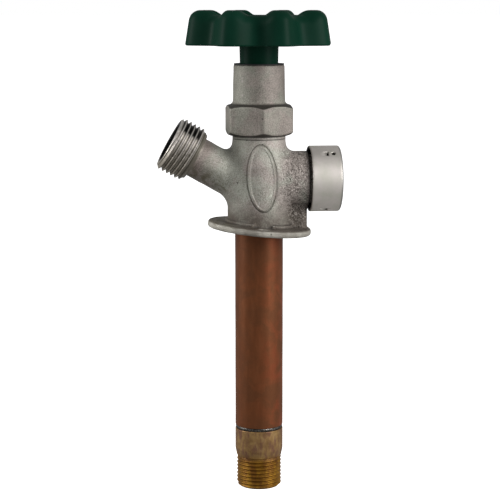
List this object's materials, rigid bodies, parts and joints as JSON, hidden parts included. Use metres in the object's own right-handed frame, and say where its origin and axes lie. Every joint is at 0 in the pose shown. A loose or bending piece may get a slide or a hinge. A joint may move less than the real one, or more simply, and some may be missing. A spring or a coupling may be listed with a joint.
{
  "type": "frost free sillcock",
  "caption": "Frost free wall tap with a lobed handle, hose spout, vacuum breaker, pitched wall flange and a long copper tube that carries the valve seat inside.",
  "frame": {"origin": "where the tube's axis crosses the wall face of the flange", "axes": "+Z along the tube towards the handle, +X towards the vacuum breaker, the spout leans towards -X, -Y is the side with the oval pad"},
  "size_m": [0.0868, 0.0704, 0.2296],
  "materials": {
    "cast_nickel": "sand cast, nickel plated, dull and grainy",
    "satin_nickel": "smooth satin nickel plate",
    "copper": "drawn copper, tarnished brown",
    "raw_brass": "turned brass, dulled",
    "solder": "soft solder",
    "green_handle": "satin dark green moulding",
    "black_rubber": "black rubber",
    "screw_steel": "zinc plated steel",
    "grey_plastic": "moulded dark grey plastic"
  },
  "bodies": {
    "body": {"body_casting": "cast_nickel", "copper_tube": "copper", "inlet_adapter": "raw_brass", "flange_solder_ring": "solder", "inlet_solder_ring": "solder", "bonnet_nut": "cast_nickel", "bonnet_gasket": "black_rubber", "wiper_washer": "black_rubber", "vb_cap": "satin_nickel", "vb_retainer": "grey_plastic", "vb_o_ring": "black_rubber"},
    "seat_carrier": {"seat_holder": "raw_brass", "seat_washer": "black_rubber", "seat_washer_screw": "raw_brass"},
    "stem_and_handle": {"handle_wheel": "green_handle", "handle_insert": "raw_brass", "handle_screw": "screw_steel", "handle_screw_washer": "screw_steel", "stem": "raw_brass", "stem_o_rings": "black_rubber", "operating_rod": "raw_brass"},
    "vb_float": {"vb_float": "grey_plastic", "vb_float_seal": "black_rubber"}
  },
  "joints": [
    {"name": "stem_rise", "type": "slide", "parent": "body", "child": "seat_carrier", "axis": [0, 0, 1], "range_m": [0, 0.0075]},
    {"name": "handle_turn", "type": "hinge", "parent": "seat_carrier", "child": "stem_and_handle", "pos_m": [0, 0, 0], "axis": [0, 0, 1], "range_deg": [0, 900]},
    {"name": "float_slide", "type": "slide", "parent": "body", "child": "vb_float", "axis": [1, 0, 0], "range_m": [0, 0.003]}
  ],
  "couplings": [
    {"joint": "handle_turn", "follows": "stem_rise", "rad_per_m": 2094.4}
  ]
}
